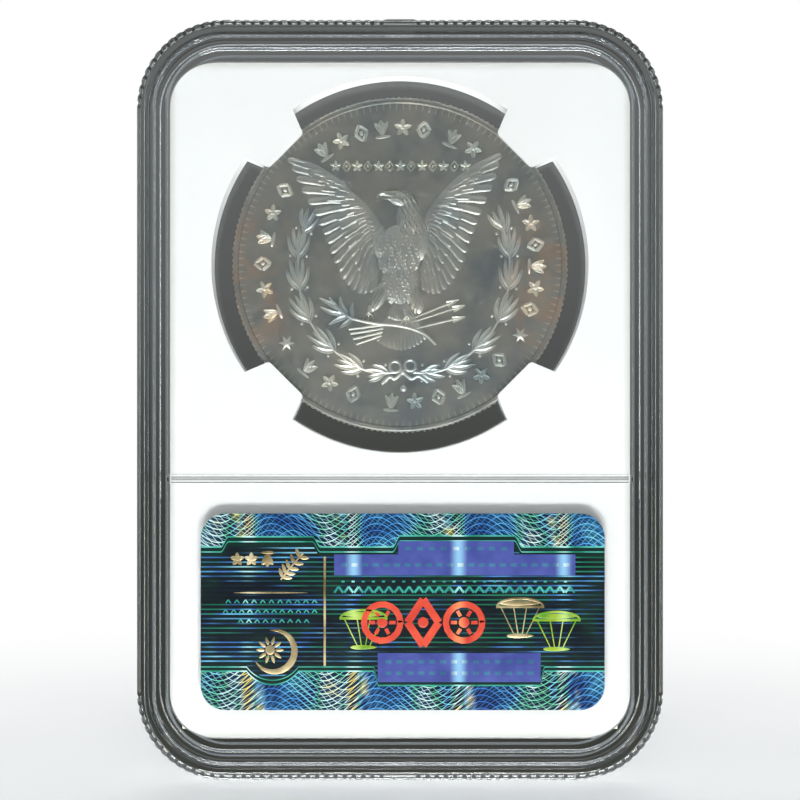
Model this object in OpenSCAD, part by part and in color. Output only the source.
// Graded coin slab: two clear welded shells round a white insert that grips one large silver coin.
// It stands on its label end, with the reverse side of the coin and the foil seal facing -Y.
// Each piece is drawn lying down (x across, y along, z towards the reverse side) and then stood up.

/* [Slab] */
// Width across the weld flange
slab_w = 59.5; // [58:0.5:62]
// Height along the weld flange
slab_h = 86; // [84:0.5:90]
// Thickness over the stacking ridges
slab_t = 8; // [7.6:0.1:9]
// Radius of the outer corners
corner_r = 10; // [9:0.5:12]

/* [Rim] */
// Width of the weld flange outside the ridge
flange_w = 1; // [0.8:0.1:1.2]
// Height of the flange above the weld plane
flange_z = 2; // [1.5:0.1:2.4]
// Width of the outer band of the rim
outer_band_w = 1.2; // [1:0.1:1.4]
// Width of the inner band of the rim
inner_band_w = 1.35; // [1.2:0.05:1.5]
// Drop between the two bands, which lets slabs nest when they are stacked
band_step = 0.5; // [0.3:0.1:0.6]
// Fillet on every edge of the rim
rim_fillet = 0.22; // [0.1:0.02:0.24]

/* [Windows] */
// Depth of the windows below the stacking ridges
window_drop = 0.9; // [0.8:0.1:1]
// Thickness of the windows
window_t = 1.2; // [1:0.1:1.3]
// Centre of the divider bar between coin and label, from the middle of the slab
bar_y = -8.9; // [-9.5:0.05:-8]
// Width of the divider bar
bar_w = 1.05; // [0.8:0.05:1.3]
// Height of the divider bar above the window
bar_h = 0.45; // [0.3:0.05:0.5]
// Width of each fine V groove behind the bar; together they show as a grey line
groove_w = 0.1; // [0.08:0.01:0.2]
// Depth of those grooves
groove_d = 0.07; // [0.05:0.01:0.15]

/* [Serrations] */
// Distance between the notches in the flange edge
notch_pitch = 1.05; // [0.9:0.05:1.3]
// Depth of each notch
notch_depth = 0.15; // [0.08:0.01:0.2]
// Width of the moulding tab at the middle of the top edge
tab_w = 3.3; // [2:0.1:5]
// Height of the moulding tab above the top edge
tab_h = 0.12; // [0.05:0.01:0.2]

/* [Insert] */
// Width of the white insert
core_w = 51.9; // [51:0.1:52]
// Height of the white insert
core_h = 76.1; // [75:0.1:76.2]
// Corner radius of the insert
core_r = 5; // [4:0.5:6]
// Thickness of the insert
core_t = 3.6; // [3.4:0.1:3.7]
// Centre of the coin, from the middle of the slab
coin_y = 15.3; // [14.5:0.1:16]
// Radius of the opening round the coin
opening_r = 21.3; // [20.5:0.1:22]
// Radius at which the tips of the four prongs end
prong_tip_r = 18.2; // [18:0.1:18.4]
// Half the width of a prong at its tip
prong_tip_half = 2.7; // [2:0.1:3.2]
// Half the width of a prong where it leaves the insert
prong_root_half = 3.95; // [3.4:0.05:4.4]
// Radius of the corners of a prong's tip
prong_round = 0.5; // [0.2:0.1:1]

/* [Coin] */
// Diameter of the coin
coin_d = 38.1; // [37.9:0.1:38.2]
// Thickness of the coin at its rim
coin_t = 2.4; // [2.2:0.1:2.4]
// Width of the raised rim
coin_rim_w = 0.7; // [0.6:0.05:1.1]
// Depth of the field below the rim
field_drop = 0.3; // [0.2:0.05:0.35]
// Radius of the coin's outer rim edges
coin_edge_round = 0.2; // [0.1:0.05:0.25]
// Number of reeds round the edge
reeds = 180; // [150:10:200]

/* [Paper and foil] */
// Width of the foil seal
seal_w = 45.4; // [44:0.2:47]
// Height of the foil seal
seal_h = 22.1; // [21:0.1:24]
// Corner radius of the foil seal
seal_r = 2.8; // [2:0.1:3.5]
// Thickness of the foil seal
seal_t = 0.08; // [0.05:0.01:0.15]
// Width of the grade label
label_w = 49.6; // [48:0.2:50]
// Height of the grade label
label_h = 26.6; // [25:0.2:27]
// Thickness of the grade label
label_t = 0.25; // [0.2:0.01:0.3]

/* [Hidden] */
$fn = 96;

half_t = slab_t / 2;
window_z = half_t - window_drop;        // outer face of a window, from the weld plane
cavity_z = window_z - window_t;         // inner face of a window
weld_gap = 0.01;                        // each shell stops this far from the weld plane
cavity_clearance = 0.15;                // gap between the insert and the cavity wall
cavity_w = core_w + 2 * cavity_clearance;
cavity_h = core_h + 2 * cavity_clearance;
cavity_r = core_r + cavity_clearance;
rim_foot = 1.2;                         // how far the rim's section reaches in under the window's edge
plate_u = 2.9;                          // the window's plate starts this far in from the outer edge
tongue_u = 1.45;                        // weld tongue: distance from the outer edge
tongue_w = 0.7;
tongue_h = 0.7;
tongue_gap = 0.08;
notch_r = 0.4;                          // radius of the round cutter for each notch
notch_angle = 90 / floor(corner_r * PI / 2 / notch_pitch);
flange_run = slab_w - 2 * corner_r;     // straight part of the top and bottom edges
seal_x = 0.3;
label_y = -24.2;
seal_y = -23.8;
adhesive = 0.01;                        // keeps the thin pieces just off the faces they lie on
pocket_margin = 0.2;
pocket_depth = label_t + 0.05;
coin_gap = 0.05;                        // clearance between coin and prong slot
reed_depth = 0.12;
eps = 0.01;

// Points of a fillet of radius r at corner b of the path a, b, c.
function unit(v) = v / norm(v);
function fillet(a, b, c, r, steps = 4) =
    let (u = unit(a - b), w = unit(c - b),
         half = acos(max(-1, min(1, u * w))) / 2,
         centre = b + unit(u + w) * (r / sin(half)),
         from = b + u * (r / tan(half)) - centre,
         turn = (from[0] * (c - b)[1] - from[1] * (c - b)[0]) > 0 ? 1 : -1,
         sweep = 180 - 2 * half)
    [for (i = [0 : steps])
        let (t = turn * sweep * i / steps)
        centre + [from[0] * cos(t) - from[1] * sin(t), from[0] * sin(t) + from[1] * cos(t)]];

// Section of one shell's rim, as [distance in from the outer edge, height above the weld plane].
// The reverse shell has its high band outside, and the front shell has it inside.
function rim_points(high_outside) =
    let (outer_z = high_outside ? half_t : half_t - band_step,
         inner_z = high_outside ? half_t - band_step : half_t,
         u1 = flange_w, u2 = flange_w + outer_band_w, u3 = u2 + inner_band_w)
    [[0, weld_gap], [0, flange_z], [u1, flange_z], [u1 + 0.06, outer_z], [u2, outer_z],
     [u2 + 0.04, inner_z], [u3, inner_z], [u3 + 0.08, window_z],
     [u3 + rim_foot, window_z], [u3 + rim_foot, weld_gap]];

// The same section with a fillet at every corner above the weld plane. The points are snapped to
// a micrometre, so that the straight runs and the round corners meet exactly.
function snap(v) = [round(v[0] * 1000), round(v[1] * 1000)] / 1000;
function rounded_section(p) =
    [for (i = [0 : len(p) - 1])
        each (i >= 1 && i <= 7)
            ? [for (q = fillet(p[i - 1], p[i], p[i + 1], rim_fillet)) snap(q)]
            : [snap(p[i])]];

module stand_up() {
    translate([0, 0, slab_h / 2]) rotate([90, 0, 0]) children();
}

// Flat outline with round corners, made of true arcs.
module round_rect(w, h, r) {
    square([w - 2 * r, h], center = true);
    square([w, h - 2 * r], center = true);
    for (sx = [-1, 1], sy = [-1, 1])
        translate([sx * (w / 2 - r), sy * (h / 2 - r)]) circle(r);
}

// One run of the rim section along the edge of the slab, and one of its round corners.
module rim_run(length, points) {
    rotate([90, 0, 90]) linear_extrude(length, center = true)
        polygon([for (p = points) [-p[0], p[1]]]);
}

module rim_corner(points) {
    rotate_extrude(angle = 90)
        polygon([for (p = points) [corner_r - p[0], p[1]]]);
}

module shell_blank(points) {
    for (side = [0, 1]) rotate(180 * side) {
        translate([0, slab_h / 2, 0]) rim_run(slab_w - 2 * corner_r, points);
        translate([-slab_w / 2, 0, 0]) rotate(90) rim_run(slab_h - 2 * corner_r, points);
        translate([slab_w / 2 - corner_r, slab_h / 2 - corner_r, 0]) rim_corner(points);
        translate([-slab_w / 2 + corner_r, slab_h / 2 - corner_r, 0]) rotate(90) rim_corner(points);
    }
    translate([0, 0, weld_gap]) linear_extrude(window_z - weld_gap)
        round_rect(slab_w - 2 * plate_u, slab_h - 2 * plate_u, corner_r - plate_u);
}

// Notches along the top and bottom flange edges and round the four corners.
module notches() {
    count = floor(flange_run / notch_pitch / 2);
    out = notch_r - notch_depth;
    for (end = [0, 1]) rotate(180 * end) {
        for (i = [-count : count]) if (abs(i * notch_pitch) > tab_w / 2)
            translate([i * notch_pitch, slab_h / 2 + out, -eps]) cylinder(r = notch_r, h = half_t, $fn = 24);
        for (side = [-1, 1], a = [notch_angle / 2 : notch_angle : 90])
            translate([side * (slab_w / 2 - corner_r + (corner_r + out) * sin(a)),
                       slab_h / 2 - corner_r + (corner_r + out) * cos(a), -eps])
                cylinder(r = notch_r, h = half_t, $fn = 24);
    }
}

module cavity() {
    translate([0, 0, -eps]) linear_extrude(cavity_z + eps) round_rect(cavity_w, cavity_h, cavity_r);
}

module divider_bar() {
    length = slab_w - 2 * (flange_w + outer_band_w + inner_band_w);
    translate([0, bar_y, window_z - eps]) rotate([90, 0, 90])
        linear_extrude(length, center = true)
            polygon([[-bar_w / 2, 0], [bar_w / 2, 0], [bar_w / 2 - 0.12, bar_h * 0.75],
                     [bar_w / 2 - 0.3, bar_h], [-bar_w / 2 + 0.3, bar_h], [-bar_w / 2 + 0.12, bar_h * 0.75]]);
}

module bar_grooves() {
    for (offset = [-0.09, 0.09, 0.48])
        translate([0, bar_y + offset, cavity_z]) rotate([90, 0, 90])
            linear_extrude(cavity_w - 0.6, center = true)
                polygon([[-groove_w / 2, 0], [-groove_w / 2, -eps], [groove_w / 2, -eps],
                         [groove_w / 2, 0], [0, groove_d]]);
}

module moulding_tab() {
    translate([-tab_w / 2, slab_h / 2 - 0.5, weld_gap]) cube([tab_w, 0.5 + tab_h, flange_z - 0.5]);
}

// Ring that follows the outline at a constant distance, for the weld tongue and its groove.
module outline_ring(u, w, z, h) {
    translate([0, 0, z]) linear_extrude(h) difference() {
        round_rect(slab_w - 2 * u, slab_h - 2 * u, corner_r - u);
        round_rect(slab_w - 2 * (u + w), slab_h - 2 * (u + w), corner_r - u - w);
    }
}

module rear_shell() {
    color([0.72, 0.76, 0.77, 0.35]) stand_up() {
        difference() {
            union() {
                shell_blank(rounded_section(rim_points(true)));
                divider_bar();
                moulding_tab();
            }
            cavity();
            bar_grooves();
            notches();
            outline_ring(tongue_u - tongue_gap, tongue_w + 2 * tongue_gap, -eps, tongue_h + tongue_gap);
        }
    }
}

module front_shell() {
    color([0.72, 0.76, 0.77, 0.35]) stand_up() {
        mirror([0, 0, 1]) difference() {
            union() {
                shell_blank(rounded_section(rim_points(false)));
                divider_bar();
                moulding_tab();
            }
            cavity();
            bar_grooves();
            notches();
        }
        outline_ring(tongue_u, tongue_w, -2 * weld_gap, tongue_h - tongue_gap);
    }
}

// One prong along the x axis, wide at the opening's edge and with a round-cornered tip at the coin.
module prong_outline() {
    tip = [[prong_tip_r, -prong_tip_half], [prong_tip_r, prong_tip_half]];
    root = [[opening_r, prong_root_half], [opening_r, -prong_root_half]];
    polygon([each fillet(root[1], tip[0], tip[1], prong_round),
             each fillet(tip[0], tip[1], root[0], prong_round),
             root[0], root[0] + [1, 0], root[1] + [1, 0], root[1]]);
}

module core_insert() {
    color([0.96, 0.96, 0.95]) stand_up() difference() {
        translate([0, 0, -core_t / 2]) linear_extrude(core_t) round_rect(core_w, core_h, core_r);
        translate([0, coin_y, -core_t]) linear_extrude(2 * core_t) difference() {
            circle(opening_r, $fn = 180);
            for (a = [45 : 90 : 315]) rotate(a) prong_outline();
        }
        translate([0, coin_y, -coin_t / 2 - coin_gap])
            cylinder(r = coin_d / 2 + coin_gap, h = coin_t + 2 * coin_gap, $fn = 180);
        translate([-label_w / 2 - pocket_margin, label_y - label_h / 2 - pocket_margin, -core_t / 2 - eps])
            cube([label_w + 2 * pocket_margin, label_h + 2 * pocket_margin, pocket_depth + eps]);
    }
}

// Points of the reeded edge: each reed is a flat land and a flat groove.
function reeded_edge(r, depth, n) =
    [for (i = [0 : n - 1], k = [0 : 3])
        let (a = 360 * (i + [0, 0.4, 0.5, 0.9][k]) / n, rr = k < 2 ? r : r - depth)
        [rr * cos(a), rr * sin(a)]];

// Upper half of the coin's section: the field, the slope up to the rim, and the rounded rim.
function coin_points(half, body_r, rim_r) =
    let (field = half - field_drop, slope = 0.12)
    [[0, field], [rim_r - slope, field],
     each fillet([rim_r - slope, field], [rim_r, half], [body_r, half], 0.08),
     each fillet([rim_r, half], [body_r, half], [body_r, 0], coin_edge_round)];

module coin() {
    upper = coin_points(coin_t / 2, coin_d / 2 - reed_depth, coin_d / 2 - coin_rim_w);
    reed_z = coin_t / 2 - coin_edge_round;
    color([0.66, 0.66, 0.64]) stand_up() translate([0, coin_y, 0]) {
        rotate_extrude($fn = 180)
            polygon([each upper, for (i = [len(upper) - 1 : -1 : 0]) [upper[i][0], -upper[i][1]]]);
        translate([0, 0, -reed_z]) linear_extrude(2 * reed_z)
            polygon(reeded_edge(coin_d / 2, reed_depth, reeds));
    }
}

module grade_label() {
    color([0.90, 0.86, 0.76]) stand_up()
        translate([0, label_y, -core_t / 2 + 0.02]) linear_extrude(label_t)
            square([label_w, label_h], center = true);
}

module foil_seal() {
    color([0.12, 0.28, 0.45]) stand_up()
        translate([seal_x, seal_y, window_z + adhesive]) linear_extrude(seal_t)
            round_rect(seal_w, seal_h, seal_r);
}

rear_shell();
front_shell();
core_insert();
coin();
grade_label();
foil_seal();
